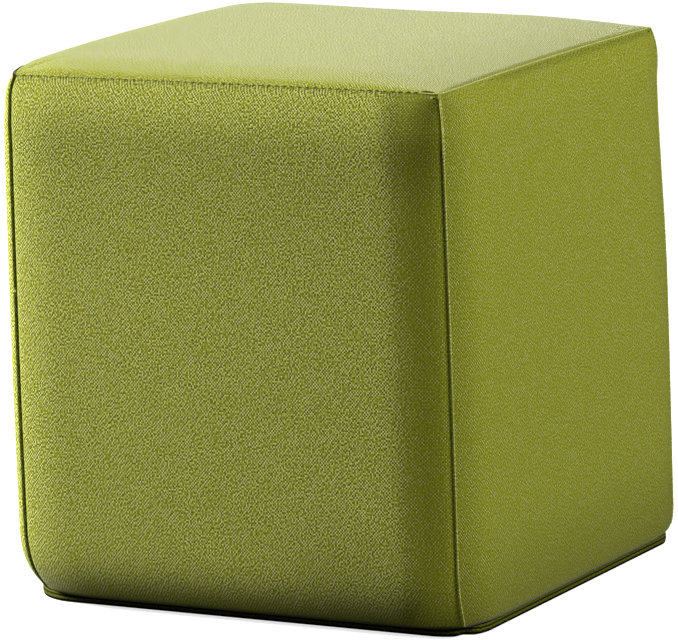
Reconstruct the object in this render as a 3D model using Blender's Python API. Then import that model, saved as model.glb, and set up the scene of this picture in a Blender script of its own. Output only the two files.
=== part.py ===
"""Cube pouf stool: a soft, fabric-covered seat cube on a low covered base.

Metres, +Z up. The origin is on the floor under the middle of the body, the stool's
front faces -Y and its right side faces +X. Every piece is one closed solid.
"""
import math

import bpy
import bmesh

# ---------------------------------------------------------------- driving sizes
GAP = 0.0003                # clearance between pieces that rest on each other

CLOTH_THICK = 0.0015        # black underlay that the stool stands on
LEDGE_Z = 0.0046            # ledge round the base band, where the welt lies
WELT_RADIUS = 0.0010        # covered cord round the foot of the body
FOOT_Z = LEDGE_Z + 2 * WELT_RADIUS + 2 * GAP    # underside of the body
BAND_TOP = FOOT_Z - GAP     # middle of the band, which carries the body
SEAM_Z = 0.4188             # height of the stitched seam round the seat panel

TAPER = 0.0022              # each side leans in this much from mid height to the seam
TAPER_START = 0.1500
WALL_BOW = 0.0030           # how far the middle of an upright panel stands proud
BOW_REACH = 0.1200          # height over which the bow grows from the top and from the foot
CURL_INSET = 0.0035         # the panels' lower edge curls under by this much
CURL_REACH = 0.0070
SEAT_ROLL = 0.0105          # height the seat panel gains close to its seam
BEND_REACH = 0.0040         # the seat panel bends sharply this close to its seam
BEND_SHARE = 0.35           # and gains this share of the height there
ROLL_REACH = 0.0400         # it gains the rest over this distance
RISE_REACH = 0.0600         # height over which the panels' top edge is arched
RIM_ROLLS = {"front": 0.0100, "right": 0.0100, "back": 0.0090, "left": 0.0124}
CORNER_ROLLS = {"front_left": 0.0127, "front_right": 0.0100, "back_right": 0.0088, "back_left": 0.0142}
SEAT_HALF = 0.1900          # half width of the seat panel
SEAT_CROWN = 0.0024         # further rise to the middle of the seat

EAR_REACH = 0.0260          # the corners are square at the seat and round this far below

# Each upright panel: distance from the origin at mid height, then how far it is
# drawn in at the top seam and at the foot, the height each bend takes, and how far
# the middle of its top seam stands above the corners.
SIDE_COLUMNS = ("middle", "top_inset", "top_reach", "foot_inset", "foot_reach", "seam_rise")
SIDES = {
    "front": (0.2027, 0.0141, 0.0450, 0.0127, 0.0500, 0.0006),
    "right": (0.2032, 0.0112, 0.0400, 0.0022, 0.0240, 0.0020),
    "back": (0.2028, 0.0199, 0.0350, 0.0029, 0.0240, 0.0020),
    "left": (0.2031, 0.0118, 0.0350, 0.0184, 0.0500, 0.0041),
}

# How far each panel falls back at a corner seam, then the depth and half width of the
# channel along the seam. The first panel is the front or back one, the second the left
# or right one.
DROP_REACH = 0.0500
DROP_COLUMNS = ("first_drop", "second_drop", "seam_dip", "dip_reach")
DROPS = {
    "front_left": (0.0078, 0.0114, 0.0045, 0.0140),
    "front_right": (0.0128, 0.0096, 0.0012, 0.0100),
    "back_right": (0.0123, 0.0099, 0.0014, 0.0100),
    "back_left": (0.0118, 0.0120, 0.0016, 0.0100),
}
ORDER = ("front", "right", "back", "left")
CORNERS = ("front_left", "front_right", "back_right", "back_left")

# Base outline: distance of each straight side from the origin, and its corners.
BASE_SIDES = {"front": 0.1789, "right": 0.1976, "back": 0.1939, "left": 0.2000}
BASE_RADII = {"front_left": 0.0470, "front_right": 0.0350, "back_right": 0.0350, "back_left": 0.0350}
# how far the base cloth is drawn in at each corner seam
NOTCH_DEPTHS = {"front_left": 0.0, "front_right": 0.0045, "back_right": 0.0030, "back_left": 0.0030}
NOTCH_HALF_ANGLE = 16.0     # degrees to either side of the corner's middle

CUTS = 25                   # cuts across each side of the cube
LINE_PULL = 0.78            # how strongly the mesh lines crowd towards the seams
COLUMNS_PER_CORNER = 9      # facets round a base corner

COLOURS = {
    "cloth_green": (0.300, 0.335, 0.055, 1.0),
    "cloth_shade": (0.190, 0.215, 0.030, 1.0),
    "underlay_black": (0.012, 0.012, 0.010, 1.0),
}


# ---------------------------------------------------------------- small helpers
def clear_scene():
    for obj in list(bpy.data.objects):
        bpy.data.objects.remove(obj, do_unlink=True)


def make_material(name, roughness):
    mat = bpy.data.materials.new(name)
    mat.use_nodes = True
    shader = mat.node_tree.nodes["Principled BSDF"]
    shader.inputs["Base Color"].default_value = COLOURS[name]
    shader.inputs["Roughness"].default_value = roughness
    shader.inputs["Metallic"].default_value = 0.0
    return mat


def add_object(name, bm, material, sharp_degrees):
    bmesh.ops.recalc_face_normals(bm, faces=bm.faces)
    mesh = bpy.data.meshes.new(name)
    bm.to_mesh(mesh)
    bm.free()
    mesh.materials.append(material)
    mesh.shade_smooth()
    mesh.set_sharp_from_angle(angle=math.radians(sharp_degrees))
    obj = bpy.data.objects.new(name, mesh)
    bpy.context.scene.collection.objects.link(obj)
    return obj


def crowd(t):
    """Move an even parameter in -1..1 so that lines gather near both ends."""
    return (1 - LINE_PULL) * t + LINE_PULL * math.sin(t * math.pi / 2)


# ---------------------------------------------------------------- body outline
def fall(inset, reach, distance, power):
    """How far a surface is drawn in at some distance from the edge that pulls it."""
    return inset * max(0.0, 1 - distance / reach) ** power


def side_distance(side, z):
    middle, top_inset, top_reach, foot_inset, foot_reach = SIDES[side][:5]
    lean = max(0.0, (z - TAPER_START) / (SEAM_Z - TAPER_START))
    curl = max(0.0, 1 - (z - FOOT_Z) / CURL_REACH)
    return (middle - TAPER * lean ** 1.5 - fall(top_inset, top_reach, SEAM_Z - z, 2.2)
            - fall(foot_inset, foot_reach, z - FOOT_Z, 2.6)
            - CURL_INSET * (1 - math.sqrt(1 - curl * curl)))


def drop(corner, side, z):
    """How far a panel has fallen back at a corner seam."""
    depth = DROPS[corner][0 if side in ("front", "back") else 1]
    square = max(0.0, 1 - (SEAM_Z - z) / EAR_REACH)
    return depth * (1 - square ** 2) + 0.0008 * square ** 2


def wall_point(side, t, z):
    """Point on one upright panel: t runs -1..1 from its left seam to its right seam,
    seen from outside. Returns its x, y and height."""
    k = ORDER.index(side)
    before, after = ORDER[k - 1], ORDER[(k + 1) % 4]
    low, high = CORNERS[k], CORNERS[(k + 1) % 4]
    start = drop(low, before, z) - side_distance(before, z)
    end = side_distance(after, z) - drop(high, after, z)
    along = start + (end - start) * (t + 1) / 2
    grown = min(1.0, (SEAM_Z - z) / BOW_REACH, (z - FOOT_Z) / BOW_REACH)
    away = (side_distance(side, z) + WALL_BOW * math.sin(grown * math.pi / 2) * (1 - t * t)
            - fall(drop(low, side, z), DROP_REACH, along - start, 2)
            - fall(drop(high, side, z), DROP_REACH, end - along, 2))
    fade = min(1.0, (SEAM_Z - z) / EAR_REACH) * math.sqrt(0.5)
    low_dip = fall(DROPS[low][2], DROPS[low][3], along - start, 2) * fade
    high_dip = fall(DROPS[high][2], DROPS[high][3], end - along, 2) * fade
    along += low_dip - high_dip
    away -= low_dip + high_dip
    quarter = k * math.pi / 2
    x = along * math.cos(quarter) + away * math.sin(quarter)
    y = along * math.sin(quarter) - away * math.cos(quarter)
    return x, y, z + fall(SIDES[side][5], RISE_REACH, SEAM_Z - z, 2) * (1 - t * t)


def side_and_t(u, v):
    """Which panel a point of the unit square's edge belongs to, and where on it."""
    if abs(v + 1) < 1e-5:
        return "front", u
    if abs(u - 1) < 1e-5:
        return "right", v
    if abs(v - 1) < 1e-5:
        return "back", -u
    return "left", -v


def wall_height(w):
    """Height of a mesh line: lines gather at the foot and at the stitched seam."""
    return FOOT_Z + (SEAM_Z - FOOT_Z) * (crowd(w) + 1) / 2


def rim_roll(side, t):
    """Height the seat panel gains close to its seam, at a place along one side."""
    k = ORDER.index(side)
    corner = CORNERS[k] if t < 0 else CORNERS[(k + 1) % 4]
    near = t * t * (3 - 2 * abs(t))
    return RIM_ROLLS[side] * (1 - near) + CORNER_ROLLS[corner] * near


def gain(distance):
    """Share of the roll reached at some distance from the seat's seam."""
    bend = BEND_SHARE * (1 - max(0.0, 1 - distance / BEND_REACH) ** 2)
    return bend + (1 - BEND_SHARE) * (1 - max(0.0, 1 - distance / ROLL_REACH) ** 2)


def cube_point(u, v, w):
    reach = max(abs(u), abs(v))
    if reach > 1 - 1e-5:
        side, t = side_and_t(u, v)
        return wall_point(side, crowd(t), wall_height(w))
    side, t = side_and_t(u / reach, v / reach) if reach > 1e-6 else ("front", 0.0)
    spread = crowd(reach)
    x, y, z = wall_point(side, crowd(t), SEAM_Z if w > 0 else FOOT_Z)
    if w < 0:
        return x * spread, y * spread, z
    across = crowd(u / max(reach, 1e-6)) * spread
    deep = crowd(v / max(reach, 1e-6)) * spread
    roll = SEAT_ROLL + (rim_roll(side, crowd(t)) - SEAT_ROLL) * spread ** 2
    roll *= gain((1 - abs(across)) * SEAT_HALF) * gain((1 - abs(deep)) * SEAT_HALF)
    crown = SEAT_CROWN * (1 - across ** 2) * (1 - deep ** 2)
    return x * spread, y * spread, SEAM_Z + (z - SEAM_Z) * spread ** 4 + roll + crown


def build_cube(material):
    bm = bmesh.new()
    bmesh.ops.create_cube(bm, size=2.0)
    bmesh.ops.subdivide_edges(bm, edges=bm.edges[:], cuts=CUTS, use_grid_fill=True)
    for vert in bm.verts:
        vert.co = cube_point(*vert.co)
    bmesh.ops.triangulate(bm, faces=bm.faces[:])
    return add_object("stuffed_cube", bm, material, 60)


# ---------------------------------------------------------------- base pieces
def base_outline(offset):
    """Rounded base outline, drawn in a little at each corner seam; offset grows it."""
    points = []
    for k, corner in enumerate(("front_right", "back_right", "back_left", "front_left")):
        y_side, x_side = corner.split("_")
        radius = BASE_RADII[corner]
        cx = (BASE_SIDES[x_side] - radius) * (1 if x_side == "right" else -1)
        cy = (BASE_SIDES[y_side] - radius) * (1 if y_side == "back" else -1)
        for i in range(COLUMNS_PER_CORNER + 1):
            angle = 90 * i / COLUMNS_PER_CORNER
            pull = NOTCH_DEPTHS[corner] * max(0.0, 1 - abs(angle - 45) / NOTCH_HALF_ANGLE)
            turn = math.radians(90 * k - 90 + angle)
            reach = radius + offset - pull
            points.append((cx + reach * math.cos(turn), cy + reach * math.sin(turn)))
    return points


def stack(rows):
    """Closed solid from outlines stacked upwards: each row is a height and an offset."""
    bm = bmesh.new()
    rings = [[bm.verts.new((x, y, z)) for x, y in base_outline(offset)] for z, offset in rows]
    count = len(rings[0])
    for low, high in zip(rings, rings[1:]):
        for i in range(count):
            j = (i + 1) % count
            bm.faces.new((low[i], low[j], high[j], high[i]))
    bm.faces.new(rings[0])
    bm.faces.new(rings[-1])
    return bm


def band_rows():
    """Outer wall with eased edges, the welt's ledge, then the raised middle."""
    bottom = CLOTH_THICK + GAP
    step = -(2 * WELT_RADIUS + 2 * GAP)
    return ((bottom, -0.0008), (bottom + 0.0008, 0.0), (LEDGE_Z - 0.0006, 0.0), (LEDGE_Z, -0.0006),
            (LEDGE_Z, step), (BAND_TOP, step))


def welt_ring():
    """Covered cord lying on the band's ledge, eight-sided in section."""
    bm = bmesh.new()
    middle = LEDGE_Z + GAP + WELT_RADIUS
    rings = []
    for i in range(8):
        turn = math.radians(22.5 + 45 * i)
        reach = WELT_RADIUS * (math.cos(turn) / math.cos(math.radians(22.5)) - 1)
        height = middle + WELT_RADIUS * math.sin(turn) / math.cos(math.radians(22.5))
        rings.append([bm.verts.new((x, y, height)) for x, y in base_outline(reach)])
    count = len(rings[0])
    for k in range(8):
        low = rings[k]
        high = rings[(k + 1) % 8]
        for i in range(count):
            j = (i + 1) % count
            bm.faces.new((low[i], low[j], high[j], high[i]))
    return bm


# ---------------------------------------------------------------- build
clear_scene()
green = make_material("cloth_green", 0.9)
shade = make_material("cloth_shade", 0.9)
black = make_material("underlay_black", 0.8)
build_cube(green)
add_object("base_welt", welt_ring(), shade, 60)
add_object("base_band", stack(band_rows()), shade, 40)
cloth_rows = ((0.0, -0.0010), (0.0004, -0.0006), (CLOTH_THICK - 0.0004, -0.0006), (CLOTH_THICK, -0.0010))
add_object("bottom_cloth", stack(cloth_rows), black, 40)
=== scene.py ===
# %% [markdown]
# # A cube pouf stool
#
# The stool is a filled cube in a tight woven cover. The cover has a square seat panel and four
# upright panels. One row of stitches runs round the seat, and a seam runs down each corner.
# At the foot a thin welt lies over a low covered base, and a black underlay stands on the floor.
#
# We load the plain solids first, because every piece below has to stay where its solid is.

# %% Load the frame
import math
import random

import bpy
import bmesh
from mathutils import Vector, Matrix


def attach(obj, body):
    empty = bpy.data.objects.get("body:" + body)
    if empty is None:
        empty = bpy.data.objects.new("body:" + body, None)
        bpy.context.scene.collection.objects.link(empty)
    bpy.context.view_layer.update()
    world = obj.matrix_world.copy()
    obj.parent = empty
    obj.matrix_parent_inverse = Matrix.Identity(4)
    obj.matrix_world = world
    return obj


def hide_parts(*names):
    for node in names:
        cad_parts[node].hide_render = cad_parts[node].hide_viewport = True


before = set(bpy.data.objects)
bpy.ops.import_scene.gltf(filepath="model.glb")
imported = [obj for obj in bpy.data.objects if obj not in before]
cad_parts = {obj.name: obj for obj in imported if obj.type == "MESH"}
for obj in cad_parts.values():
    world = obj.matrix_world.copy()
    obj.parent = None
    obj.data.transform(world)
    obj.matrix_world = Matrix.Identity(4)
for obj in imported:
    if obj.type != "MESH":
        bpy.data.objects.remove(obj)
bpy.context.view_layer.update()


# %% [markdown]
# ## Camera
#
# The photograph was taken from far away with a long lens: the cube's upright edges are almost
# parallel. We stand the camera 4.56 m off, about 29 degrees round to the right and 10.5 degrees
# up, and turn it by 2 degrees, because the stool stands a little askew in the photograph. The
# lens is given in pixels: a thing as wide as it is far off would be that many pixels wide.

# %% Make the camera
AIM = Vector((0.0, 0.0, 0.2250))
DISTANCE = 4.5598
YAW = math.radians(-28.79)
PITCH = math.radians(10.45)
ROLL = math.radians(-2.04)
FOCAL_PIXELS = 5749.5
PHOTO_SIZE = (678, 640)
AIM_PIXEL = (343.86 - PHOTO_SIZE[0] / 2, 292.30 - PHOTO_SIZE[1] / 2)  # from the middle
SENSOR_WIDTH = 36.0


def add_object(name, data):
    """A new object in the scene."""
    thing = bpy.data.objects.new(name, data)
    bpy.context.scene.collection.objects.link(thing)
    return thing


forward = Vector((math.sin(YAW) * math.cos(PITCH), math.cos(YAW) * math.cos(PITCH),
                  -math.sin(PITCH)))
right = Vector((math.cos(YAW), -math.sin(YAW), 0.0))
up = right.cross(forward)
right, up = (math.cos(ROLL) * right + math.sin(ROLL) * up,
             -math.sin(ROLL) * right + math.cos(ROLL) * up)
eye = AIM - forward * DISTANCE
forward = (forward * FOCAL_PIXELS - right * AIM_PIXEL[0] + up * AIM_PIXEL[1]).normalized()
right = (right - forward * right.dot(forward)).normalized()
up = right.cross(forward)
cam_data = bpy.data.cameras.new("photo_camera")
cam_data.sensor_fit = "HORIZONTAL"
cam_data.sensor_width = SENSOR_WIDTH
cam_data.lens = FOCAL_PIXELS * SENSOR_WIDTH / PHOTO_SIZE[0]
cam_data.clip_start = 0.1
cam_data.clip_end = 60.0
camera = add_object("photo_camera", cam_data)
turn = Matrix((right, up, -forward)).transposed().to_4x4()
camera.matrix_world = Matrix.Translation(eye) @ turn
bpy.context.scene.camera = camera
print("camera", [round(c, 3) for c in eye], "lens", round(cam_data.lens, 1))


# %% [markdown]
# ## Light and floor
#
# The stool stands in plain soft light. The main lamp stands high on the left and grazes the
# front panel, which brings out its weave. One lamp on the right and one behind on the right
# light the other panel, and a very weak one stands in front. All are wide, which gives shade
# with soft edges.
# The floor and the backdrop are plain and pale. Seen by the camera they are nearly white, but
# they send little light back up, so the cloth near the foot stays dark, as in the photograph.

# %% Lamps
LAMP_AIM = Vector((0.0, 0.0, 0.22))
# Columns: place, width and height, watts.
LAMPS = {
    "left_lamp": ((-2.88, -0.95, 1.66), (0.7, 1.2), 272.0),
    "front_lamp": ((-1.00, -2.80, 1.30), (1.4, 1.4), 2.5),
    "right_lamp": ((2.55, -0.30, 1.50), (1.0, 1.4), 44.0),
    "rear_lamp": ((2.20, 1.27, 1.50), (1.0, 1.4), 24.0),
}

for name, (place, size, power) in LAMPS.items():
    lamp_data = bpy.data.lights.new(name, "AREA")
    lamp_data.shape = "RECTANGLE"
    lamp_data.size, lamp_data.size_y = size
    lamp_data.energy = power
    lamp = add_object(name, lamp_data)
    lamp.location = place
    lamp.rotation_mode = "QUATERNION"
    lamp.rotation_quaternion = (LAMP_AIM - Vector(place)).to_track_quat("-Z", "Y")
    lamp.visible_camera = False
print("lamps", list(LAMPS))


# %% Tell nodes and links by short calls
def add_node(tree, kind, **settings):
    """Add a shader node. Settings are its own properties, or values or sockets by input name."""
    node = tree.nodes.new("ShaderNode" + kind)
    for key, value in settings.items():
        if hasattr(node, key):
            setattr(node, key, value)
        elif isinstance(value, bpy.types.NodeSocket):
            tree.links.new(value, node.inputs[key])
        else:
            node.inputs[key].default_value = value
    return node


def join(tree, source, target, into=0):
    """Link a node's first output to an input of another node."""
    tree.links.new(source.outputs[0], target.inputs[into])


def grey(level):
    """A grey from black, 0, to white, 1."""
    return (level, level, level, 1.0)


# %% Backdrop
BACKDROP_GLOW = 1.05


def stage_shader(tree, seen, bounced):
    """Mix two shaders: one for what the camera sees, one for light that bounces."""
    to_camera = add_node(tree, "LightPath").outputs["Is Camera Ray"]
    mix = add_node(tree, "MixShader", Fac=to_camera)
    join(tree, bounced, mix, into=1)
    join(tree, seen, mix, into=2)
    return mix


world = bpy.data.worlds.new("studio")
bpy.context.scene.world = world
world.use_nodes = True
tree = world.node_tree
tree.nodes.clear()
seen = add_node(tree, "Background", Color=grey(1.0), Strength=BACKDROP_GLOW)
dim = add_node(tree, "Background", Color=grey(1.0), Strength=0.0)
join(tree, stage_shader(tree, seen, dim), add_node(tree, "OutputWorld"))
bpy.context.scene.view_settings.view_transform = "Standard"
print("backdrop", world.name)

# %% Floor
FLOOR_HALF = 6.0
FLOOR_DROP = 0.0004  # clear of the underlay's lower face
bm = bmesh.new()
bmesh.ops.create_grid(bm, x_segments=8, y_segments=8, size=FLOOR_HALF)
bmesh.ops.translate(bm, verts=bm.verts, vec=(0.0, 0.0, -FLOOR_DROP))
floor_mesh = bpy.data.meshes.new("studio_floor")
bm.to_mesh(floor_mesh)
bm.free()
floor = add_object("studio_floor", floor_mesh)

# %% Floor's material
# Its upper face is pale to the camera and dark to the light. From below it is clear, so the
# stool's underside can be looked at.
FLOOR_PALE = 0.85
FLOOR_GLOW = 0.75
FLOOR_DARK = 0.07
floor_mat = bpy.data.materials.new("pale_floor")
floor_mat.use_nodes = True
tree = floor_mat.node_tree
tree.nodes.clear()
pale = add_node(tree, "BsdfDiffuse", Color=grey(FLOOR_PALE))
glow = add_node(tree, "Emission", Color=grey(1.0), Strength=FLOOR_GLOW)
both = add_node(tree, "AddShader")
join(tree, pale, both)
join(tree, glow, both, into=1)
dark = add_node(tree, "BsdfDiffuse", Color=grey(FLOOR_DARK))
below = add_node(tree, "NewGeometry").outputs["Backfacing"]
from_below = add_node(tree, "MixShader", Fac=below)
join(tree, stage_shader(tree, both, dark), from_below, into=1)
join(tree, add_node(tree, "BsdfTransparent"), from_below, into=2)
join(tree, from_below, add_node(tree, "OutputMaterial"))
floor_mesh.materials.append(floor_mat)
print("floor", floor.name)


# %% [markdown]
# ## Cover cloth
#
# The cover is a coarse plain weave of green yarns, uneven in colour from crossing to crossing
# and along each yarn. A picture of cloth would repeat and would be of one size only, so we
# build the weave from sums: each panel has a UV map in metres, and the height of the cloth at
# a point comes from the warp yarn and the weft yarn that cross there. The same height makes
# the bump, and paints shade into the gaps between the yarns, where little light reaches. Each
# crossing has a tone at random, set against its four neighbours.

# %% Small sums for nodes
def calc(tree, what, *values, kind="Math"):
    """A Math node. Its values are numbers, sockets or None. Returns its output socket."""
    node = add_node(tree, kind, operation=what)
    for socket, value in zip(node.inputs, values):
        if isinstance(value, bpy.types.NodeSocket):
            tree.links.new(value, socket)
        elif value is not None:
            socket.default_value = value
    return node.outputs[0]


def vector_calc(tree, what, *values):
    """The same for vectors. The fourth value is the number that SCALE takes."""
    return calc(tree, what, *values, kind="VectorMath")


# %% The two sets of yarns
YARN_ROUND = 0.5  # power that rounds a yarn's back


def half_turns(tree, x):
    return calc(tree, "SINE", calc(tree, "MULTIPLY", x, math.pi))


def yarn_top(tree, across, along, sign):
    """Height, 0 to 1, of one set of yarns, where it lies on top. across counts its yarns and
    along the other set's. In a plain weave the sets change places at every crossing."""
    back = calc(tree, "POWER", calc(tree, "ABSOLUTE", half_turns(tree, across)), YARN_ROUND)
    wave = half_turns(tree, calc(tree, "ADD", along, calc(tree, "FLOOR", across)))
    return calc(tree, "MULTIPLY", back, calc(tree, "MULTIPLY_ADD", wave, 0.5 * sign, 0.5))


# %% Uneven yarns
OWN_TONE = 0.80  # share of a crossing's own random number, and of each neighbour's
AROUND_TONE = -0.20
AROUND = ((1.0, 0.0, 0.0), (-1.0, 0.0, 0.0), (0.0, 1.0, 0.0), (0.0, -1.0, 0.0))
# Streaks along the warp, streaks along the weft and soft patches: turns per yarn, and share.
STREAKS = (((0.9, 0.06, 1.0), 0.22), ((0.06, 0.9, 1.0), 0.22), ((0.14, 0.14, 1.0), 0.06))


def stretched_noise(tree, count, stretch, share):
    """Noise about zero, drawn out along one way; stretch is in turns per yarn."""
    along = add_node(tree, "Mapping", Vector=count, Scale=stretch).outputs[0]
    tone = add_node(tree, "TexNoise", Vector=along, Scale=1.0, Detail=2.0, Roughness=0.6)
    return calc(tree, "MULTIPLY_ADD", tone.outputs["Fac"], share, -0.5 * share)


def crossing_noise(tree, count, step=(0.0, 0.0, 0.0)):
    """One random number, 0 to 1, for each crossing of two yarns, or for its neighbour."""
    cell = vector_calc(tree, "FLOOR", vector_calc(tree, "ADD", count, step))
    return add_node(tree, "TexWhiteNoise", noise_dimensions="2D", Vector=cell).outputs["Value"]


def uneven(tree, count):
    """Change of tone from crossing to crossing, along each yarn, and in soft patches."""
    here = crossing_noise(tree, count)
    around = crossing_noise(tree, count, AROUND[0])
    for step in AROUND[1:]:
        around = calc(tree, "ADD", around, crossing_noise(tree, count, step))
    total = calc(tree, "MULTIPLY_ADD", around, AROUND_TONE, calc(tree, "MULTIPLY", here, OWN_TONE))
    for stretch, share in STREAKS:
        total = calc(tree, "ADD", total, stretched_noise(tree, count, stretch, share))
    return total


# %% Count the yarns
YARN_PITCH = (0.00125, 0.00138, 1.0)  # from warp to warp and from weft to weft, metres
SWAY = 0.0016  # the yarns wander by about this much, in so many turns to the metre
SWAY_SCALE = 26.0


def flat_place(tree):
    """Place on a piece without a UV map, in metres: x less y, and z. Returns it and z."""
    place = add_node(tree, "TexCoord").outputs["Object"]
    x, y, z = add_node(tree, "SeparateXYZ", Vector=place).outputs
    return add_node(tree, "CombineXYZ", X=calc(tree, "SUBTRACT", x, y), Y=z).outputs[0], z


def yarn_count(tree, place):
    """Number of warp yarns and of weft yarns up to a place. A slow noise moves the place."""
    sway = add_node(tree, "TexNoise", Vector=place, Scale=SWAY_SCALE, Detail=2.0, Roughness=0.5)
    drift = vector_calc(tree, "SCALE", sway.outputs["Color"], None, None, SWAY)
    return vector_calc(tree, "DIVIDE", vector_calc(tree, "ADD", place, drift), YARN_PITCH)


# %% Tone of the cloth
CHECK = 0.37  # how much paler the warp's crests are than the weft's
# Painted shade: the gaps between the yarns are painted darker than the crests, as little light
# reaches them.
HEIGHT_PAINTED_SHADE = 0.55  # how much paler a crest is than a gap
GAP_PAINTED_SHADE = -0.36  # tone of a gap


def cloth_tone(tree, count):
    """Height and tone of the cloth, from counted yarns, with painted shade in the gaps. Warp crests
    are the palest.
    """
    x, y, _ = add_node(tree, "SeparateXYZ", Vector=count).outputs
    warp_top, weft_top = yarn_top(tree, x, y, 1.0), yarn_top(tree, y, x, -1.0)
    height = calc(tree, "MAXIMUM", warp_top, weft_top)
    check = calc(tree, "MULTIPLY", calc(tree, "SUBTRACT", warp_top, weft_top), CHECK)
    tone = calc(tree, "ADD", check, uneven(tree, count))
    return height, calc(tree, "ADD", tone, calc(tree, "MULTIPLY_ADD", height, HEIGHT_PAINTED_SHADE, GAP_PAINTED_SHADE))


# %% Parts that all materials share
def new_material(name, roughness, specular):
    """A new material. Returns it, its node tree and its shader node."""
    mat = bpy.data.materials.new(name)
    mat.use_nodes = True
    shader = mat.node_tree.nodes["Principled BSDF"]
    shader.inputs["Roughness"].default_value = roughness
    shader.inputs["Specular IOR Level"].default_value = specular
    return mat, mat.node_tree, shader


def colour_ramp(tree, level, colours):
    """Two or three colours spread evenly over a level from 0 to 1. Returns an output socket."""
    ramp = add_node(tree, "ValToRGB", Fac=level)
    if len(colours) == 3:
        ramp.color_ramp.elements.new(0.5)
    for element, colour in zip(ramp.color_ramp.elements, colours):
        element.color = (*colour, 1.0)
    return ramp.outputs[0]


def add_bump(tree, shader, height, strength, depth):
    """Fine relief from a height of 0 to 1."""
    rise = add_node(tree, "Bump", Strength=strength, Distance=depth, Height=height)
    tree.links.new(rise.outputs[0], shader.inputs["Normal"])


# %% Make a woven material
CLOTH_ROUGHNESS = 0.9
CLOTH_SPECULAR = 0.10
SHEEN_ROUGHNESS = 0.28
WEAVE_DEPTH = 0.00045
# Painted shade: a dark line painted round a piece without a UV map, in the crease at some height.
CREASE_SOFT = 0.0007  # a crease's dark line fades over this height, past a core that is
CREASE_CORE = 0.4  # this share of it and keeps this share of its colour
CREASE_PAINTED_SHADE = 0.15


def woven(name, colours, contrast, bump, mapped=True, sheen=0.38, crease=None):
    """Woven cloth in three colours from gaps to crests. A mapped piece has a UV map, grain and
    shade, which is painted shade and light. Another may have painted shade in a crease at some
    height."""
    mat, tree, shader = new_material(name, CLOTH_ROUGHNESS, CLOTH_SPECULAR)
    shader.inputs["Sheen Weight"].default_value = sheen
    shader.inputs["Sheen Roughness"].default_value = SHEEN_ROUGHNESS
    shader.inputs["Sheen Tint"].default_value = grey(1.0)
    if mapped:
        place = add_node(tree, "UVMap", uv_map="cloth").outputs[0]
    else:
        place, up = flat_place(tree)
    height, tone = cloth_tone(tree, yarn_count(tree, place))
    # kept scales the colour: painted shade and painted light read from the mesh, or the painted
    # shade of a crease.
    kept = 1.0
    if mapped:
        grain = add_node(tree, "Attribute", attribute_name="grain").outputs["Fac"]
        tone = calc(tree, "MULTIPLY", tone, grain)
        kept = add_node(tree, "Attribute", attribute_name="shade").outputs["Fac"]
    elif crease:
        away = calc(tree, "ABSOLUTE", calc(tree, "SUBTRACT", up, crease))
        kept = calc(tree, "MULTIPLY_ADD", away, 1 / CREASE_SOFT, -CREASE_CORE)
        kept = calc(tree, "MINIMUM", calc(tree, "MAXIMUM", kept, CREASE_PAINTED_SHADE), 1.0)
    level = calc(tree, "MULTIPLY_ADD", tone, contrast, 0.5)
    colour = vector_calc(tree, "SCALE", colour_ramp(tree, level, colours), None, None, kept)
    tree.links.new(colour, shader.inputs["Base Color"])
    add_bump(tree, shader, height, bump, WEAVE_DEPTH)
    return mat


# %% The three cloths
COVER_COLOURS = ((0.055, 0.060, 0.001), (0.310, 0.335, 0.009), (0.790, 0.820, 0.260))
# The base cloth is painted darker than the cover as painted shade, for the band lies in the body's
# shadow, and at BASE_CREASE_Z it gets a painted shade line in the crease between band and welt.
BASE_COLOURS = ((0.025, 0.028, 0.001), (0.105, 0.115, 0.003), (0.220, 0.235, 0.030))
# Painted highlight: the folds' cloth is a paler copy of the cover's, where the folds catch the
# light.
FOLD_HIGHLIGHT_COLOURS = ((0.300, 0.330, 0.020), (0.520, 0.560, 0.090), (0.860, 0.900, 0.400))
BASE_CREASE_Z = 0.0048
cover_cloth = woven("cover_cloth", COVER_COLOURS, 1.0, 0.7)
base_cloth = woven("base_cloth", BASE_COLOURS, 0.7, 0.6, mapped=False, sheen=0.0,
                   crease=BASE_CREASE_Z)
fold_highlight_cloth = woven("fold_highlight_cloth", FOLD_HIGHLIGHT_COLOURS, 0.6, 0.4, mapped=False)
print("cloth materials", cover_cloth.name, base_cloth.name, fold_highlight_cloth.name)


# %% [markdown]
# ## Shape of the cover
#
# A sewn cover over a soft filling is not a block. Each upright panel bows out in the middle,
# the corner seams sit on rounded corners that get sharper towards the seat, the top of each
# panel bends in to the stitched seam, and the foot is tucked under, most of all at the front
# and left. The seat bends down to its seam, but runs out flat first on the right. We describe
# all this with named sizes, in metres, which are easy to change later, and with functions that
# say where a point of a panel lies. They take t from -1 to 1 across it, and a height z.

# %% Sizes of the cover
GAP = 0.0003  # between neighbouring pieces
CLOTH_THICK = 0.0015  # of the underlay
LEDGE_Z = 0.0046  # top of the base cover
WELT_RADIUS = 0.0010
FOOT_Z = LEDGE_Z + 2 * WELT_RADIUS + 2 * GAP
SEAM_Z = 0.4188  # the seat's seam

TAPER = 0.0022  # a wall leans in by this much, from this height up
TAPER_START = 0.1500
TAPER_POWER = 1.5
WALL_BOW = 0.0030  # a wall's middle stands out, less so near the foot and the seat
BOW_REACH = 0.1200
TOP_POWER = 2.2  # how suddenly a wall bends in at the seat
FOOT_POWER = 2.6  # and at the foot
CURL_INSET = 0.0035  # the last turn of the cloth at the foot
CURL_REACH = 0.0042

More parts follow.
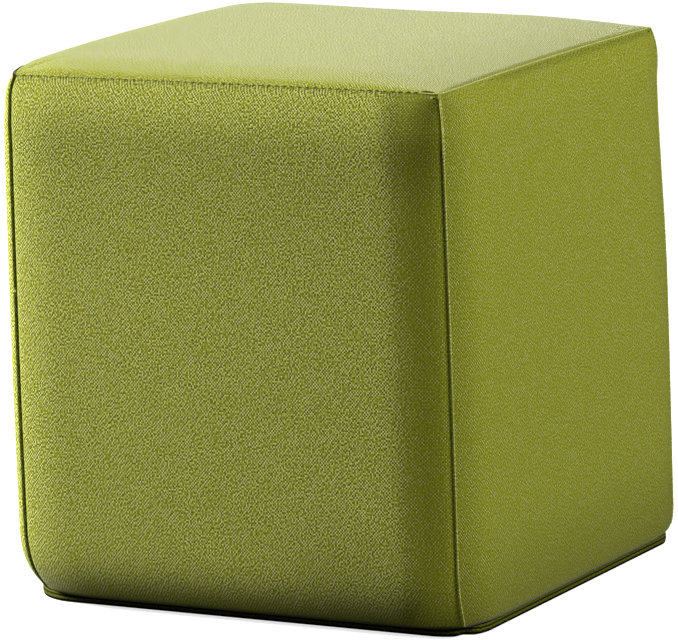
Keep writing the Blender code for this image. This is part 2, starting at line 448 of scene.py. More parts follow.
# Columns: middle, top inset, top reach, foot inset, foot reach, rise of the seat's seam.
SIDES = {
    "front": (0.2027, 0.0141, 0.0450, 0.0127, 0.0500, 0.0006),
    "right": (0.2032, 0.0112, 0.0400, 0.0022, 0.0240, 0.0020),
    "back": (0.2028, 0.0199, 0.0350, 0.0029, 0.0240, 0.0020),
    "left": (0.2042, 0.0129, 0.0220, 0.0201, 0.0560, 0.0041),
}
ORDER = ("front", "right", "back", "left")
CORNERS = ("front_left", "front_right", "back_right", "back_left")
LINE_PULL = 0.80  # how strongly the grid's lines gather near the panels' edges


def crowd(t):
    """Move an even parameter in -1..1 so that lines gather near both ends."""
    return (1 - LINE_PULL) * t + LINE_PULL * math.sin(t * math.pi / 2)


def fall(inset, reach, distance, power):
    """All of an inset at distance 0, falling to none of it at reach."""
    return inset * max(0.0, 1 - distance / reach) ** power


def ease(low, high, x):
    """0 below low, 1 above high and smooth between them."""
    share = min(1.0, max(0.0, (x - low) / (high - low)))
    return share * share * (3 - 2 * share)


print("height of the cover's foot and of the seat's seam", round(FOOT_Z, 4), SEAM_Z)


# %% Where a side stands at a height
# Columns: how far the front or back panel falls back at this corner, the same for the left or
# right panel, depth and reach of the channel along the seam, drop at the seat, height over
# which the corner gets round, and what its upper part drops besides.
DROPS = {
    "front_left": (0.0086, 0.0124, 0.0000, 0.0160, 0.0028, 0.0260, 0.0),
    "front_right": (0.0128, 0.0096, 0.0004, 0.0085, 0.0008, 0.0260, 0.0),
    "back_right": (0.0123, 0.0099, 0.0014, 0.0085, 0.0012, 0.0450, 0.0019),
    "back_left": (0.0118, 0.0120, 0.0016, 0.0085, 0.0020, 0.0260, 0.0),
}
UPPER_PART = (0.22, 0.36)  # the upper part begins between these heights


def side_distance(side, z):
    """How far a side stands from the stool's axis at a height."""
    middle, top_inset, top_reach, foot_inset, foot_reach = SIDES[side][:5]
    lean = max(0.0, (z - TAPER_START) / (SEAM_Z - TAPER_START))
    curl = max(0.0, 1 - (z - FOOT_Z) / CURL_REACH)
    return (middle - TAPER * lean ** TAPER_POWER - fall(top_inset, top_reach, SEAM_Z - z, TOP_POWER)
            - fall(foot_inset, foot_reach, z - FOOT_Z, FOOT_POWER)
            - CURL_INSET * (1 - math.sqrt(max(0.0, 1 - curl * curl))))


def drop(corner, side, z):
    """How far a panel has fallen back at a corner seam."""
    top_drop, square_reach, upper_drop = DROPS[corner][4:]
    depth = DROPS[corner][0 if side in ("front", "back") else 1]
    depth += upper_drop * ease(*UPPER_PART, z)
    square = max(0.0, 1 - (SEAM_Z - z) / square_reach)
    return depth * (1 - square ** 2) + top_drop * square ** 2


print("front wall at mid height", round(side_distance("front", SEAM_Z / 2), 4))


# %% Where a point of a side lies
DROP_REACH = 0.0500  # a panel falls back over this width at each corner
RISE_REACH = 0.0600  # the seam's rise carries this height of the wall with it


def corners_of(side):
    """The corners at a side's left end and at its right end, seen from outside."""
    k = ORDER.index(side)
    return CORNERS[k], CORNERS[(k + 1) % 4]


def side_ends(side, z):
    """Where a side starts and ends, along itself, between its two rounded corners."""
    k = ORDER.index(side)
    before, after = ORDER[k - 1], ORDER[(k + 1) % 4]
    low, high = corners_of(side)
    return (drop(low, before, z) - side_distance(before, z),
            side_distance(after, z) - drop(high, after, z))


def wall_place(side, along, inward, z):
    """Point of a side at a place along it, pushed in by some depth."""
    low, high = corners_of(side)
    start, end = side_ends(side, z)
    t = (2 * along - start - end) / (end - start)
    grown = min(1.0, (SEAM_Z - z) / BOW_REACH, (z - FOOT_Z) / BOW_REACH)
    bow = WALL_BOW * math.sin(grown * math.pi / 2) * (1 - t * t)
    away = (side_distance(side, z) + bow - inward
            - fall(drop(low, side, z), DROP_REACH, along - start, 2)
            - fall(drop(high, side, z), DROP_REACH, end - along, 2))
    quarter = ORDER.index(side) * math.pi / 2
    return Vector((along * math.cos(quarter) + away * math.sin(quarter),
                   along * math.sin(quarter) - away * math.cos(quarter),
                   z + fall(SIDES[side][5], RISE_REACH, SEAM_Z - z, 2) * (1 - t * t)))


# %% [markdown]
# ## The lapped edge and its crease
#
# At the front left corner the left panel's edge is drawn round on to the front, about 8 mm
# wide, and the front panel dives into a narrow crease beside it. A painted dark line alone would
# not catch the light at its rim, so the crease is cut into the shape, and painted shade darkens
# its bottom. The columns of faces beside it are drawn together, because wide faces could not
# follow it.

# %% The lapped edge
LAP = 0.0078  # the left panel's edge laps on to the front by this much
LAP_FOOT = 0.0350  # and narrows to nothing at the foot
LAP_POWER = 0.6
LAP_TOP = 0.0500  # over this height under the seat it loses a share of its width
LAP_TOP_LOSS = 0.40
SLIT_DEPTH = 0.0060  # the crease beside it
SLIT_REACHES = {"front": 0.0010, "left": 0.0006}
SLIT_TOP = 0.0040
LIP = 0.0009  # the front panel's edge rounds down into the crease
LIP_REACH = 0.0060
# Distances from the crease's bottom of even columns, and where each is drawn to.
PINCH = ((0.0, 0.0), (0.0016, 0.0009), (0.0037, 0.0018), (0.0063, 0.0056), (0.0094, 0.0092),
         (0.0130, 0.0130))


def lapped(z):
    """How far the left panel laps round the front left corner, on to the front."""
    narrowed = 1 - fall(LAP_TOP_LOSS, LAP_TOP, SEAM_Z - z, 1)
    return LAP * min(1.0, (z - FOOT_Z) / LAP_FOOT) ** LAP_POWER * narrowed


def pinched(distance):
    """Draws the columns of faces closer together beside the crease."""
    for (a, low), (b, high) in zip(PINCH, PINCH[1:]):
        if distance < b:
            return low + (high - low) * (distance - a) / (b - a)
    return distance


def slit(side, distance, z):
    """Depth of the crease beside the lapped edge, at a distance from its bottom."""
    open_up = min(1.0, (SEAM_Z - z) / SLIT_TOP, (z - FOOT_Z) / LAP_FOOT)
    return fall(SLIT_DEPTH, SLIT_REACHES[side], distance, 1) * open_up


print("lapped edge at mid height", round(lapped(SEAM_Z / 2), 4))


# %% Where a point of a panel lies
EAR_REACH = 0.0260  # seam channels and folds grow over this height below the seat


def panel_point(side, t, z, lift=0.0):
    """Point on an upright panel: t runs -1..1 from its left seam to its right seam, seen from
    outside. The point is lifted off the cloth by lift."""
    low, high = corners_of(side)
    start, end = side_ends(side, z)
    first = start + (lapped(z) if side == "front" else 0.0)
    last = end + (lapped(z) if side == "left" else 0.0)
    along = first + (last - first) * (t + 1) / 2
    grown = min(1.0, (SEAM_Z - z) / EAR_REACH)
    inward = 0.0
    if side == "front":
        along = first + pinched(along - first)
        inward = slit(side, along - first, z) + fall(LIP, LIP_REACH, along - first, 2) * grown
    elif side == "left":
        along = last - pinched(last - along)
        inward = slit(side, last - along, z)
        if along > end:
            return wall_place("front", side_ends("front", z)[0] + along - end, inward - lift, z)
    fade = grown * math.sqrt(0.5)
    low_dip = fall(*DROPS[low][2:4], along - start, 2) * fade
    high_dip = fall(*DROPS[high][2:4], end - along, 2) * fade
    return wall_place(side, along + low_dip - high_dip, inward + low_dip + high_dip - lift, z)


print("front right seam at mid height", [round(c, 4) for c in panel_point("front", 1.0, SEAM_Z / 2)])


# %% Groove round the seat
SEAT_HALF = 0.1900  # half of the seat's width, about
STITCH_DIP = 0.0010  # groove in which the seat's stitches lie
STITCH_REACH = 0.0036
STITCH_DROP = 0.0026  # on three sides the stitches lie this far under the seam
STITCH_CLIMB = 0.012  # and climb to it over this length at the corners
POCKET_DIP = 0.0030  # a small pocket by the front right corner
POCKET_T = (0.955, 0.05)  # its middle and its reach along the front
POCKET_DEPTH = (0.0016, 0.0026)  # and behind the seam, in metres


def stitch_drop(side, t):
    """Height from the seam down to the stitches. At the front they lie in the seam itself."""
    if side == "front":
        return 0.0
    return STITCH_DROP * min(1.0, SEAT_HALF * (1 - abs(t)) / STITCH_CLIMB)


def groove(side, t, distance):
    """Depth of the stitched groove and of the pocket, at a distance under the seam."""
    off = abs(distance - stitch_drop(side, t))
    depth = STITCH_DIP * max(0.0, 1 - off / STITCH_REACH) ** 2
    if side == "front" and distance < 0:
        depth += (fall(POCKET_DIP, POCKET_T[1], abs(t - POCKET_T[0]), 1)
                  * fall(1.0, POCKET_DEPTH[1], abs(distance + POCKET_DEPTH[0]), 1))
    return depth


# %% Roll of the seat
SEAT_CROWN = 0.0024  # the seat's middle stands this much above the rest of it
SEAT_ROLL = 0.0105  # and the rest this much above the seam
# How high the seat stands close to the seam: in the middle of each side, and at each corner.
RIM_ROLLS = {"front": 0.0100, "right": 0.0100, "back": 0.0090, "left": 0.0124}
CORNER_ROLLS = {"front_left": 0.0127, "front_right": 0.0100, "back_right": 0.0088,
                "back_left": 0.0142}
BEND_SHARE = 0.35  # this share of the roll is gained at once, over this distance
BEND_REACH = 0.0040
ROLL_REACH = 0.0400  # and the rest over this distance
FLAT_SHARE = 0.14  # on the right less is gained at once, and the rest over a longer way
FLAT_REACH = 0.1050


def rim_roll(side, t):
    """Height the seat panel gains close to its seam, at a place along one side."""
    corner = corners_of(side)[0 if t < 0 else 1]
    near = t * t * (3 - 2 * abs(t))
    return RIM_ROLLS[side] * (1 - near) + CORNER_ROLLS[corner] * near


def gain(distance, flat=False):
    """Share of the roll reached at some distance from the seat's seam."""
    share, reach = (FLAT_SHARE, FLAT_REACH) if flat else (BEND_SHARE, ROLL_REACH)
    bend = share * (1 - max(0.0, 1 - distance / BEND_REACH) ** 2)
    return bend + (1 - share) * (1 - max(0.0, 1 - distance / reach) ** 2)


def seat_point(side, t, spread):
    """Point on the seat panel: spread is 0 in the middle and 1 at the seam."""
    rim = panel_point(side, t, SEAM_Z)
    across, deep = ((t, -1), (1, t), (-t, 1), (-1, -t))[ORDER.index(side)]
    across, deep = across * spread, deep * spread
    roll = SEAT_ROLL + (rim_roll(side, t) - SEAT_ROLL) * spread ** 2
    roll *= gain((1 - abs(across)) * SEAT_HALF, across > 0) * gain((1 - abs(deep)) * SEAT_HALF)
    crown = SEAT_CROWN * (1 - across ** 2) * (1 - deep ** 2)
    rise = (rim.z - SEAM_Z) * spread ** 4
    return Vector((rim.x * spread, rim.y * spread, SEAM_Z + rise + roll + crown))


print("top of the seat", round(seat_point("front", 0.0, 0.0).z, 4))


# %% Where a point of the cube lies
NEAR_EDGE = 1e-5
SEAT_GROOVE = 0.8  # share of the groove's depth that the seat panel takes


def side_and_t(u, v):
    """Side and t of a point on the square's rim."""
    if abs(v + 1) < NEAR_EDGE:
        return "front", u
    if abs(u - 1) < NEAR_EDGE:
        return "right", v
    if abs(v - 1) < NEAR_EDGE:
        return "back", -u
    return "left", -v


def wall_height(w):
    """Height of a grid row on the upright panels, from w in -1..1."""
    return FOOT_Z + (SEAM_Z - FOOT_Z) * (crowd(w) + 1) / 2


def cube_point(u, v, w):
    """Where a point of the plain cube, from -1 to 1 each way, lies on the cover."""
    reach = max(abs(u), abs(v))
    if reach > 1 - NEAR_EDGE:
        side, t = side_and_t(u, v)
        z = wall_height(w)
        return panel_point(side, crowd(t), z, -groove(side, crowd(t), SEAM_Z - z))
    side, t = side_and_t(u / reach, v / reach) if reach > 1e-6 else ("front", 0.0)
    spread = crowd(reach)
    if w < 0:
        rim = panel_point(side, crowd(t), FOOT_Z)
        return Vector((rim.x * spread, rim.y * spread, FOOT_Z))
    point = seat_point(side, crowd(t), spread)
    point.z -= groove(side, crowd(t), -(1 - spread) * SEAT_HALF) * SEAT_GROOVE
    return point


print("a seat corner", [round(c, 4) for c in cube_point(1.0, -1.0, 1.0)])


# %% [markdown]
# ## Grain and shade
#
# The weave stands out where the light grazes it, and fades elsewhere; grain paints that contrast
# into the cloth's colour. The cloth looks darker in creases, at the foot, along seams and over
# broad parts of the front and right panels: that is painted shade, and the lapped edge and the
# front near its right seam get painted light. Lamps alone would not give the same softness, so
# each point of the mesh carries two numbers, grain and shade, which the cloth's material reads.

# %% Grain
# How strongly the yarns stand out: most where the lamp on the left grazes them.
GRAIN = {"front": 1.12, "left": 1.12, "right": 0.45, "back": 0.45, "seat": 0.85, "underside": 0.45}
GRAIN_SHADED = 0.38  # on the front, in shade: right of the first range and below the second
GRAZED_T = (0.74, 0.88)
GRAZED_Z = (0.008, 0.034)


def grain_at(panel, t, z):
    """How strongly the yarns stand out at a place on a panel."""
    if panel != "front":
        return GRAIN[panel]
    grazed = (1 - ease(*GRAZED_T, t)) * ease(*GRAZED_Z, z)
    return GRAIN_SHADED + (GRAIN["front"] - GRAIN_SHADED) * grazed


# %% Shade
# Painted shade: the cloth is painted darker where it tucks under at the foot, and all over the
# underside.
FOOT_SHADE = 0.10  # share of its colour that cloth keeps where it is tucked under
FOOT_FADE = (0.0008, 0.0038)
# Painted shade at the bottom of the crease beside the lapped edge.
CREASE_SHADE = 0.06  # and at the bottom of the crease
CREASE_FADES = {"front": (0.0003, 0.0014), "left": (0.0002, 0.0008)}
# Painted highlight: the lapped edge is painted paler where the lamp on the left catches it.
EDGE_PAINTED_HIGHLIGHT = 0.30  # the lapped edge is paler by this share
EDGE_FADE = (0.006, 0.012)
# Painted shade: a dark line painted just under the seat's seam, on the front and on the right.
SEAM_SHADES = {"front": (0.38, 0.0024), "right": (0.40, 0.0022)}  # loss at the seam, reach
RIGHT_SEAM_DROP = 0.0030  # on the right the dark line lies under the seam, from here on
RIGHT_SEAM_START = (-0.65, -0.35)
# Painted shade on the right panel beside the front right seam, where less light falls.
RIGHT_EDGE_PAINTED_SHADE = 0.20  # loss beside the front right seam
RIGHT_EDGE_FADE = (0.0, 0.036)
# Painted light: the front is painted paler near its right seam, in the band that the lamps leave
# dim.
FRONT_EDGE_PAINTED_LIGHT = ((0.24, (0.80, 0.88)), (0.30, (0.955, 0.985)))  # gain there, and range of t
# Broad painted shade, where less light falls. Columns: change, ranges of t in which it begins and
# ends, and of z.
PAINTED_SHADE_TONES = {
    "front": ((-0.30, (0.70, 0.82), None, (0.32, 0.39), None),  # right, close to the seat
              (-0.13, None, None, (0.24, 0.38), None),  # the upper part
              (-0.26, (0.0, 0.55), (0.72, 0.86), None, (0.03, 0.11)),  # low, on the right
              (-0.15, None, (0.65, 0.85), None, (0.010, 0.035))),  # along the foot
    "right": ((-0.28, None, None, None, (0.010, 0.100)),),  # the lower part
}


def between(x, begins, ends):
    """1 past the range begins and before the range ends, and smooth within them."""
    return (ease(*begins, x) if begins else 1.0) * (1 - ease(*ends, x) if ends else 1.0)


def crease_painted_shade(panel, distance):
    """Share of colour kept, as painted shade, at a distance from the crease's bottom."""
    return CREASE_SHADE + (1 - CREASE_SHADE) * ease(*CREASE_FADES[panel], distance)


def painted_light_and_shade_at(panel, t, z):
    """Share of its colour that the cloth keeps, as painted shade and painted light: little in a
    crease, more on the lapped edge.
    """
    if panel == "seat":
        return 1.0
    if panel == "underside":
        return FOOT_SHADE
    start, end = side_ends(panel, z)
    share = FOOT_SHADE + (1 - FOOT_SHADE) * ease(*FOOT_FADE, z - FOOT_Z)
    for change, t_begins, t_ends, z_begins, z_ends in PAINTED_SHADE_TONES.get(panel, ()):
        share *= 1 + change * between(t, t_begins, t_ends) * between(z, z_begins, z_ends)
    if panel == "front":
        share *= 1 - fall(*SEAM_SHADES[panel], abs(SEAM_Z - z), 1)
        share *= crease_painted_shade(panel, pinched((t + 1) / 2 * (end - start - lapped(z))))
        share *= 1 + sum(more * ease(*where, t) for more, where in FRONT_EDGE_PAINTED_LIGHT)
    elif panel == "left":
        crease = pinched((1 - t) / 2 * (end - start + lapped(z)))
        share *= crease_painted_shade(panel, crease)
        share *= 1 + EDGE_PAINTED_HIGHLIGHT * (1 - ease(*EDGE_FADE, crease))
    elif panel == "right":
        share *= 1 - RIGHT_EDGE_PAINTED_SHADE * (1 - ease(*RIGHT_EDGE_FADE, (t + 1) / 2 * (end - start)))
        line = fall(*SEAM_SHADES[panel], abs(SEAM_Z - z - RIGHT_SEAM_DROP), 1)
        share *= 1 - line * ease(*RIGHT_SEAM_START, t)
    return share


print("shade low on the right panel", round(painted_light_and_shade_at("right", 0.0, 0.05), 3))


# %% [markdown]
# ## Mesh of the cover
#
# A cube cut into a fine grid gives one square face for each patch of cloth, on every panel and
# in step across the seams. We move its points to the shape above. Before that we note where
# each point was on the cube, because the UV map of each panel is laid out from there: its
# length along the cloth one way and its height the other way, in metres, so the weave runs
# straight up each panel and meets at the seams as cut cloth does.

# %% Lay out the cloth of each panel
CUTS = 55
GRID = [-1 + 2 * i / (CUTS + 1) for i in range(CUTS + 2)]
UNDERSIDE_APART = 5.0  # panels lie metres apart on the UV map


def panel_of(centre):
    """Panel of a face of the plain cube."""
    axis = max(range(3), key=lambda i: abs(centre[i]))
    if axis == 2:
        return "seat" if centre[2] > 0 else "underside"
    if axis == 1:
        return "front" if centre[1] < 0 else "back"
    return "right" if centre[0] > 0 else "left"


def even_t(panel, u, v):
    """t of a grid line on an upright panel, before lines gather, and 0 on other panels."""
    return {"front": u, "right": v, "back": -u, "left": -v}.get(panel, 0.0)


def lengths_along(points):
    """Length of a path up to each of its points."""
    lengths = [0.0]
    for a, b in zip(points, points[1:]):
        lengths.append(lengths[-1] + (b - a).length)
    return lengths


def cloth_row(panel, w):
    """Length along the cloth from a panel's middle to each grid point of one row."""
    lengths = lengths_along([panel_point(panel, crowd(t), wall_height(w)) for t in GRID])
    return {round(t, 3): length - lengths[-1] / 2 for t, length in zip(GRID, lengths)}


def cloth_column(panel):
    """Length up the cloth, along a panel's middle, from its foot to each row of the grid."""
    lengths = lengths_along([panel_point(panel, 0.0, wall_height(w)) for w in GRID])
    return {round(w, 3): length for w, length in zip(GRID, lengths)}


cloth_rows = {}
cloth_columns = {side: cloth_column(side) for side in ORDER}
print("height of the front's cloth", round(max(cloth_columns["front"].values()), 4))


# %% Place on the flat cloth
def cloth_place(panel, u, v, w, point):
    """Place on the flat cloth, in metres, of a grid point of a panel."""
    if panel == "underside":
        return (point.x + UNDERSIDE_APART, point.y)
    if panel == "seat":
        spread = max(abs(u), abs(v), 1e-6)
        bent = SEAT_ROLL * (1 - gain((1 - crowd(spread)) * SEAT_HALF)) / max(spread, 0.5)
        return (point.x + u * bent, point.y + v * bent)
    key = (panel, round(w, 3))
    if key not in cloth_rows:
        cloth_rows[key] = cloth_row(panel, w)
    along = cloth_rows[key][round(even_t(panel, u, v), 3)]
    return (along + 1.0 + ORDER.index(panel), cloth_columns[panel][round(w, 3)])


# %% Cut and shape the cube
bm = bmesh.new()
bmesh.ops.create_cube(bm, size=2.0)
bmesh.ops.subdivide_edges(bm, edges=bm.edges[:], cuts=CUTS, use_grid_fill=True)
layers = bm.loops.layers
uv_layer = layers.uv.new("cloth")
grain_layer, painted_light_and_shade_layer = layers.float.new("grain"), layers.float.new("shade")
on_cube = {vert: vert.co.copy() for vert in bm.verts}
shaped = {vert: cube_point(*vert.co) for vert in bm.verts}
for face in bm.faces:
    face.smooth = True
    panel = panel_of(face.calc_center_median())
    for loop in face.loops:
        u, v, w = on_cube[loop.vert]
        t = crowd(even_t(panel, u, v))
        loop[uv_layer].uv = cloth_place(panel, u, v, w, shaped[loop.vert])
        loop[grain_layer] = grain_at(panel, t, wall_height(w))
        loop[painted_light_and_shade_layer] = painted_light_and_shade_at(panel, t, wall_height(w))
for vert in bm.verts:
    vert.co = shaped[vert]
bmesh.ops.recalc_face_normals(bm, faces=bm.faces)
cover_mesh = bpy.data.meshes.new("cover")
bm.to_mesh(cover_mesh)
bm.free()
print("cover faces", len(cover_mesh.polygons))

# %% Finish the cover
cover = add_object("cover", cover_mesh)
cover_mesh.materials.append(cover_cloth)
smooth = cover.modifiers.new("smooth", "SUBSURF")
smooth.levels = 1
smooth.render_levels = 1
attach(cover, "root")
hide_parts("stuffed_cube")
print("cover size", [round(c, 4) for c in cover.dimensions])


# %% [markdown]
# ## Seams and folds
#
# Where two panels meet, their edges are turned in and sewn, which leaves a thin fold along the
# seam. The cover's grid is too coarse for a line 1.5 mm wide, so the folds are round cords
# along paths that we take from the same function as the cover, and they cannot drift off it.
# Their cloth is a paler copy of the cover's, a painted highlight where they catch the light.

# %% Finish a piece
SHARP_ANGLE = math.radians(50)


def finish_piece(name, bm, material, node="stuffed_cube"):
    """Turn a bmesh into a piece that rides on the stool and stands for a node."""
    bmesh.ops.recalc_face_normals(bm, faces=bm.faces)
    mesh = bpy.data.meshes.new(name)
    bm.to_mesh(mesh)
    bm.free()
    mesh.materials.append(material)
    mesh.shade_smooth()
    mesh.set_sharp_from_angle(angle=SHARP_ANGLE)
    piece = add_object(name, mesh)
    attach(piece, "root")
    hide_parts(node)
    print(name, "faces", len(mesh.polygons))


# %% Cords along a path
def cord_mesh(points, radius, closed=False, swell=None):
    """A thin round solid along a path. The list swell scales its radius at each point."""
    curve = bpy.data.curves.new("cord", "CURVE")
    curve.dimensions = "3D"
    curve.bevel_depth = radius
    curve.bevel_resolution = 2
    curve.use_fill_caps = True
    line = curve.splines.new("POLY")
    line.points.add(len(points) - 1)
    for place, point, share in zip(line.points, points, swell or [1.0] * len(points)):
        place.co = (*point, 1.0)
        place.radius = share
    line.use_cyclic_u = closed
    holder = add_object("cord", curve)
    depsgraph = bpy.context.evaluated_depsgraph_get()
    mesh = bpy.data.meshes.new_from_object(holder.evaluated_get(depsgraph))
    bpy.data.objects.remove(holder)
    bm = bmesh.new()
    bm.from_mesh(mesh)
    bpy.data.meshes.remove(mesh)
    bmesh.ops.remove_doubles(bm, verts=bm.verts, dist=1e-6)
    return bm


# %% Folds along the corner seams
FOLD_RADIUS = 0.00080
FOLD_STEPS = 70
FOLD_ENDS = (FOOT_Z + 0.004, SEAM_Z - 0.0006)
# Columns: corner, side that ends there, shift away from the corner along X and along Y.
FOLDS = (("front_right", "front", (0.00095, -0.00080)),
         ("back_right", "right", (0.00055, 0.00025)),
         ("back_left", "back", (-0.00055, 0.00025)))


def corner_line(side, shift):
    """Points up the seam at a side's right edge. The shift fades towards the seat."""
    low, high = FOLD_ENDS
    points = []
    for i in range(FOLD_STEPS + 1):
        z = low + (high - low) * i / FOLD_STEPS
        grown = min(1.0, (SEAM_Z - z) / EAR_REACH)
        points.append(panel_point(side, 1.0, z) + Vector((*shift, 0.0)) * grown)
    return points


for corner, side, shift in FOLDS:
    finish_piece("fold_" + corner, cord_mesh(corner_line(side, shift), FOLD_RADIUS), fold_highlight_cloth)


# %% [markdown]
# ## Stitch across the crease
#
# Half way up the front left corner one pale stitch holds the lapped edge: a short cord that
# comes out of one panel, passes over the crease and goes into the other.

# %% Make the stitch across the crease
BRIDGE_Z = 0.2505
BRIDGE_RADIUS = 0.0010
BRIDGE_DEPTH = 0.0002  # how deep its middle lies over the crease


def line_on(side, z, rows):
    """Points on a panel. Columns of rows: t, height above z, lift off the cloth."""
    return [panel_point(side, t, z + above, lift) for t, above, lift in rows]


bridge_start = side_ends("front", BRIDGE_Z)[0]
bridge_line = line_on("left", BRIDGE_Z, ((0.990, 0.0016, -0.0004), (0.996, 0.0008, 0.0006)))
bridge_line += [wall_place("front", bridge_start + LAP, BRIDGE_DEPTH, BRIDGE_Z)]
bridge_line += line_on("front", BRIDGE_Z, ((-0.996, -0.0008, 0.0006), (-0.988, -0.0016, -0.0004)))
# It uses the folds' paler cloth, a painted highlight.
finish_piece("bridge_stitch", cord_mesh(bridge_line, BRIDGE_RADIUS), fold_highlight_cloth)


# %% [markdown]
# ## Fold round the seat
#
# The seat panel's turned edge shows as a thin line all round, but at the front only by the
# right corner. It is one cord, thin at both ends, so that it rises out of the cloth there.

# %% Make the fold round the seat
SEAT_FOLD_RADIUS = 0.00060
SWELL = (0.15, 0.2)  # its radius at an end, and the gain from point to point
# Columns: side, first t, last t, lift, steps.
SEAT_FOLD = (("front", 0.90, 0.998, 0.0005, 10), ("right", -0.998, 0.998, 0.0005, 60),
             ("back", -0.998, 0.998, 0.0003, 60), ("left", -0.998, 0.90, 0.0001, 60))


def rim_line(side, first, last, lift, steps, under=0.0):
    """Points along a side, at some height under the seat's seam, from one t to another."""
    places = [first + (last - first) * i / steps for i in range(steps + 1)]
    return [panel_point(side, t, SEAM_Z - under, lift - groove(side, t, under)) for t in places]


seat_line = [point for row in SEAT_FOLD for point in rim_line(*row)]
from_end = [min(i, len(seat_line) - 1 - i) for i in range(len(seat_line))]
seat_swell = [min(1.0, SWELL[0] + SWELL[1] * i) for i in from_end]
# Its cloth is the folds' paler copy, a painted highlight.
finish_piece("fold_seat", cord_mesh(seat_line, SEAT_FOLD_RADIUS, swell=seat_swell), fold_highlight_cloth)


# %% [markdown]
# ## Thread
#
# The seat is sewn with a dark green thread of twisted plies. The twist is too fine to model,
# so a wave texture that runs askew gives it.

# %% Thread's material
THREAD_COLOURS = ((0.026, 0.029, 0.001), (0.080, 0.087, 0.003))
FIBRE_DEPTH = 0.0002  # of the relief of plies and felt
FIBRE_BUMP = 0.5


def two_tone(name, texture, colours, roughness, specular, bump=0.0):
    """A material of two colours that follow a texture, given as its kind and its settings."""
    mat, tree, shader = new_material(name, roughness, specular)
    place = add_node(tree, "TexCoord").outputs["Object"]
    level = add_node(tree, texture[0], Vector=place, **texture[1]).outputs["Fac"]
    tree.links.new(colour_ramp(tree, level, colours), shader.inputs["Base Color"])
    if bump:
        add_bump(tree, shader, level, bump, FIBRE_DEPTH)
    return mat


PLIES = ("TexWave", {"Scale": 900.0, "Distortion": 1.5, "bands_direction": "DIAGONAL"})
thread_mat = two_tone("thread", PLIES, THREAD_COLOURS, CLOTH_ROUGHNESS, CLOTH_SPECULAR, FIBRE_BUMP)
print("material", thread_mat.name)


# %% [markdown]
# ## Loose end of the thread
#
# The thread was fastened off at the front right corner, and its pale end sticks out by about
# 2 mm. It is a short cord that starts under the cloth.

# %% Make the loose end
END_COLOURS = ((0.60, 0.62, 0.42), (0.90, 0.90, 0.78))
END_RADIUS = 0.00075
END_ROWS = ((0.9665, -0.0032, -0.0005), (0.9675, -0.0029, 0.0005), (0.9690, -0.0026, 0.0022))
FIBRES = ("TexNoise", {"Scale": 2500.0, "Detail": 2.0})
end_mat = two_tone("thread_end", FIBRES, END_COLOURS, roughness=0.6, specular=0.5)
finish_piece("thread_end", cord_mesh(line_on("front", SEAM_Z, END_ROWS), END_RADIUS), end_mat)


# %% [markdown]
# ## Where the seam sinks in
#
# At the front left corner the seat's seam turns up over the edge, and there it reads as a thin
# dark line, a thin cord of the thread's colour. Near the front right corner the seam sinks
# between two panels, and the shade in that gap is a painted shadow: a thin cord of the
# thread's colour.

# %% Make the two dark stretches
BEND_RADIUS = 0.00055
BEND_WALL = ((0.9925, -0.0042, 0.0002), (0.9900, -0.0027, 0.0002), (0.9870, -0.0012, 0.0002))
# Columns: t and spread, on the seat panel.
BEND_SEAT = ((0.972, 0.9962), (0.968, 0.9888), (0.955, 0.9850), (0.930, 0.9838), (0.905, 0.9825))
BEND_SWELL = [0.6] + [1.0] * 6 + [0.3]
# A painted shadow: a dark cord of the thread's colour in the gap by the front right corner.
SINK_RADIUS = 0.00065
SINK_ROWS = [(0.925 + 0.010 * i, 0.990) for i in range(7)]
SINK_SWELL = [0.3] + [1.0] * 5 + [0.3]
bend_line = line_on("left", SEAM_Z, BEND_WALL)
bend_line += [seat_point("left", t, spread) for t, spread in BEND_SEAT]
finish_piece("seam_bend", cord_mesh(bend_line, BEND_RADIUS, swell=BEND_SWELL), thread_mat)
gap_shadow_line = [seat_point("front", t, spread) for t, spread in SINK_ROWS]
finish_piece("seam_gap_shadow", cord_mesh(gap_shadow_line, SINK_RADIUS, swell=SINK_SWELL), thread_mat)


# %% [markdown]
# ## Stitches round the seat
#
# The thread lies in short stitches, a little uneven in length. Each is a small spindle. An
# array along a curve could place them too, but a loop lets each one differ.

# %% One stitch
STITCH_SIZE = (0.0042, 0.0015, 0.0012)  # along the row, across it and out of it


def add_stitch(bm, middle, along, outward, length):
    """One stitch: a small spindle that lies along the row."""
    across = outward.cross(along).normalized()
    turn = Matrix((along, across, along.cross(across))).transposed().to_4x4()
    scale = Matrix.Diagonal((length / 2, STITCH_SIZE[1] / 2, STITCH_SIZE[2] / 2, 1.0))
    lay_down = Matrix.Rotation(math.pi / 2, 4, "Y")
    bmesh.ops.create_uvsphere(bm, u_segments=6, v_segments=4, radius=1.0,
                              matrix=Matrix.Translation(middle) @ turn @ scale @ lay_down)


# %% A row of stitches round the seat
STITCH_PITCH = 0.0066
STITCH_SPREAD = (0.85, 1.15)  # shortest and longest stitch
STITCH_TILT = Vector((0.0, 0.0, 0.6))
ROW_STEPS = 200
# Columns: side, first t, last t, direction away from the stool.
ROWS = (("front", -0.97, 0.90, Vector((0, -1, 0))), ("right", -0.60, 0.97, Vector((1, 0, 0))),
        ("back", -0.97, 0.97, Vector((0, 1, 0))), ("left", -0.97, 0.90, Vector((-1, 0, 0))))


def along_path(points, pitch):
    """Places at an even pitch along a path, each with the path's direction there."""
    places = []
    rest = pitch / 2
    for a, b in zip(points, points[1:]):
        step = b - a
        while rest < step.length:
            places.append((a + step.normalized() * rest, step.normalized()))
            rest += pitch
        rest -= step.length
    return places


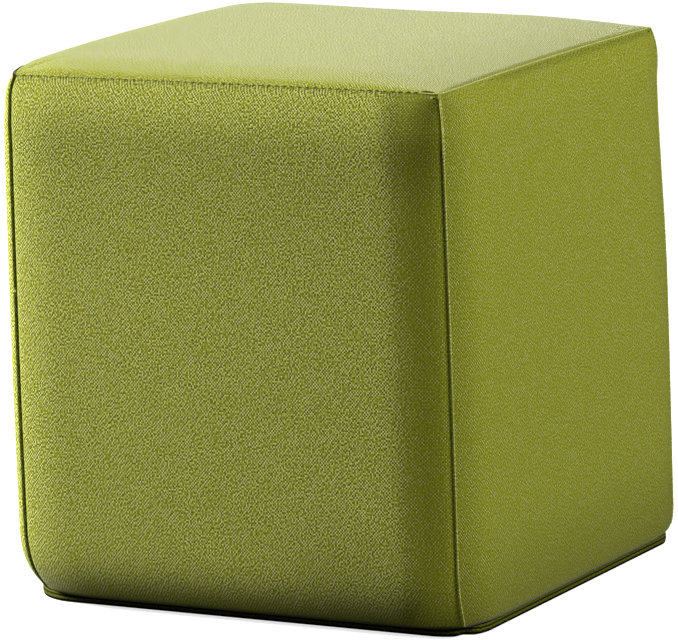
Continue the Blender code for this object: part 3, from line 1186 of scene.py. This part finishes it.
random.seed(4)
bm = bmesh.new()
count = 0
for side, first, last, outward in ROWS:
    row = rim_line(side, first, last, 0.0, ROW_STEPS, stitch_drop(side, 0.0))
    for middle, along in along_path(row, STITCH_PITCH):
        length = STITCH_SIZE[0] * random.uniform(*STITCH_SPREAD)
        add_stitch(bm, middle, along, outward + STITCH_TILT, length)
        count += 1
finish_piece("seat_stitches", bm, thread_mat)
print("stitches", count)


# %% [markdown]
# ## Base
#
# The base is low: a covered band, a welt in the groove above it, and the underlay below. Each
# follows the same rounded outline, which is drawn in a little at each corner seam but the
# front left one. A plate is an outline pulled up to its height with its edges rounded over,
# and the welt is a curve with a round section.

# %% The base outline
BASE_SIDES = {"front": 0.1789, "right": 0.1976, "back": 0.1939, "left": 0.2025}
# Columns: corner, its radius, how far its seam draws it in.
BASE_CORNERS = (("front_right", 0.0350, 0.0045), ("back_right", 0.0350, 0.0030),
                ("back_left", 0.0350, 0.0030), ("front_left", 0.0470, 0.0))
NOTCH_HALF_ANGLE = 16.0
BASE_COLUMNS = 24


def base_outline(offset):
    """Rounded base outline, drawn in a little at the corner seams; offset grows it."""
    points = []
    for k, (corner, radius, notch) in enumerate(BASE_CORNERS):
        y_side, x_side = corner.split("_")
        cx = (BASE_SIDES[x_side] - radius) * (1 if x_side == "right" else -1)
        cy = (BASE_SIDES[y_side] - radius) * (1 if y_side == "back" else -1)
        for i in range(BASE_COLUMNS + 1):
            angle = 90 * i / BASE_COLUMNS
            near = max(0.0, 1 - abs(angle - 45) / NOTCH_HALF_ANGLE)
            reach = radius + offset - notch * (3 - 2 * near) * near * near
            turn = math.radians(90 * k - 90 + angle)
            points.append((cx + reach * math.cos(turn), cy + reach * math.sin(turn)))
    return points


# %% Base cover
BAND_ROUNDING = 0.0008


def plate(bottom, top, offset, rounding):
    """The outline pulled up from one height to another, with rounded edges."""
    bm = bmesh.new()
    outline = [bm.verts.new((x, y, bottom)) for x, y in base_outline(offset)]
    face = bm.faces.new(outline)
    pulled = bmesh.ops.extrude_face_region(bm, geom=[face])
    high = [g for g in pulled["geom"] if isinstance(g, bmesh.types.BMVert)]
    bmesh.ops.translate(bm, verts=high, vec=(0.0, 0.0, top - bottom))
    rims = [e for e in bm.edges if abs(e.verts[0].co.z - e.verts[1].co.z) < 1e-6]
    bmesh.ops.bevel(bm, geom=rims, offset=rounding, offset_type="OFFSET", segments=3, profile=0.5,
                    affect="EDGES", material=-1)
    return bm


finish_piece("base_cover", plate(CLOTH_THICK + GAP, LEDGE_Z, 0.0, BAND_ROUNDING), base_cloth,
             "base_band")


# %% Black underlay
UNDERLAY_COLOURS = ((0.001, 0.001, 0.001), (0.007, 0.007, 0.005))
UNDERLAY_INSET = 0.0006
UNDERLAY_ROUNDING = 0.0004
FELT = ("TexNoise", {"Scale": 900.0, "Detail": 3.0})
underlay_mat = two_tone("underlay_cloth", FELT, UNDERLAY_COLOURS, roughness=1.0, specular=0.05,
                        bump=FIBRE_BUMP)
finish_piece("underlay", plate(0.0, CLOTH_THICK, -UNDERLAY_INSET, UNDERLAY_ROUNDING), underlay_mat,
             "bottom_cloth")


# %% Welt of the base
welt_line = [(x, y, LEDGE_Z + GAP + WELT_RADIUS) for x, y in base_outline(-WELT_RADIUS)]
finish_piece("foot_welt", cord_mesh(welt_line, WELT_RADIUS, closed=True), base_cloth,
             "base_welt")
